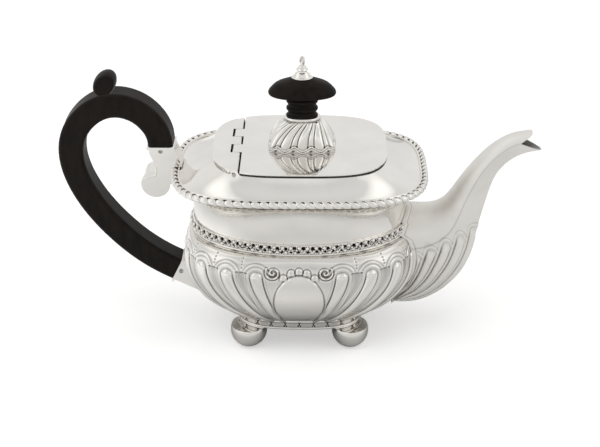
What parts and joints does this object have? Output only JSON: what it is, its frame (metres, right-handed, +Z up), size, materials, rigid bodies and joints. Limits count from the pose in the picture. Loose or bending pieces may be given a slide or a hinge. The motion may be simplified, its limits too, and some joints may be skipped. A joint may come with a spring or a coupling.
{
  "type": "teapot",
  "caption": "Oblong silver teapot with a lobed bowl, leaf band, gadroon rim and flush-hinged flat lid, with an ebony loop handle and knob, on ball feet.",
  "frame": {"origin": "on the table plane, under the middle of the pot's overall length and width", "axes": "+X to the spout along the pot's length, +Y across the pot towards the back, +Z up"},
  "size_m": [0.2297, 0.088, 0.1438],
  "materials": {
    "silver_plain": "polished",
    "silver_chased": "chased and polished, darker in the hollows",
    "ebony": "satin"
  },
  "bodies": {
    "pot": {"body_shell": "silver_chased", "base_rim": "silver_chased", "base_plate": "silver_plain", "foliate_band": "silver_chased", "collar": "silver_plain", "gadroon_rim": "silver_chased", "top_deck": "silver_plain", "hinge_plate": "silver_plain", "hinge_knuckles_pot": "silver_plain", "hinge_pin": "silver_plain", "spout": "silver_plain", "handle": "ebony", "upper_socket": "silver_plain", "lower_socket": "silver_plain", "upper_pin": "silver_plain", "lower_pin": "silver_plain", "foot_front_left": "silver_plain", "foot_back_left": "silver_plain", "foot_front_right": "silver_plain", "foot_back_right": "silver_plain"},
    "lid": {"lid_plate": "silver_plain", "lid_flange": "silver_plain", "hinge_knuckles_lid": "silver_plain", "finial_dome": "silver_chased", "finial_collar": "silver_plain", "knob": "ebony", "finial_cap": "silver_plain", "finial_bolt": "silver_plain", "finial_washer": "silver_plain", "finial_nut": "silver_plain"}
  },
  "joints": [
    {"name": "lid_hinge", "type": "hinge", "parent": "pot", "child": "lid", "pos_m": [-0.0299, 0, 0.09755], "axis": [0, -1, 0], "range_deg": [0, 90]}
  ]
}
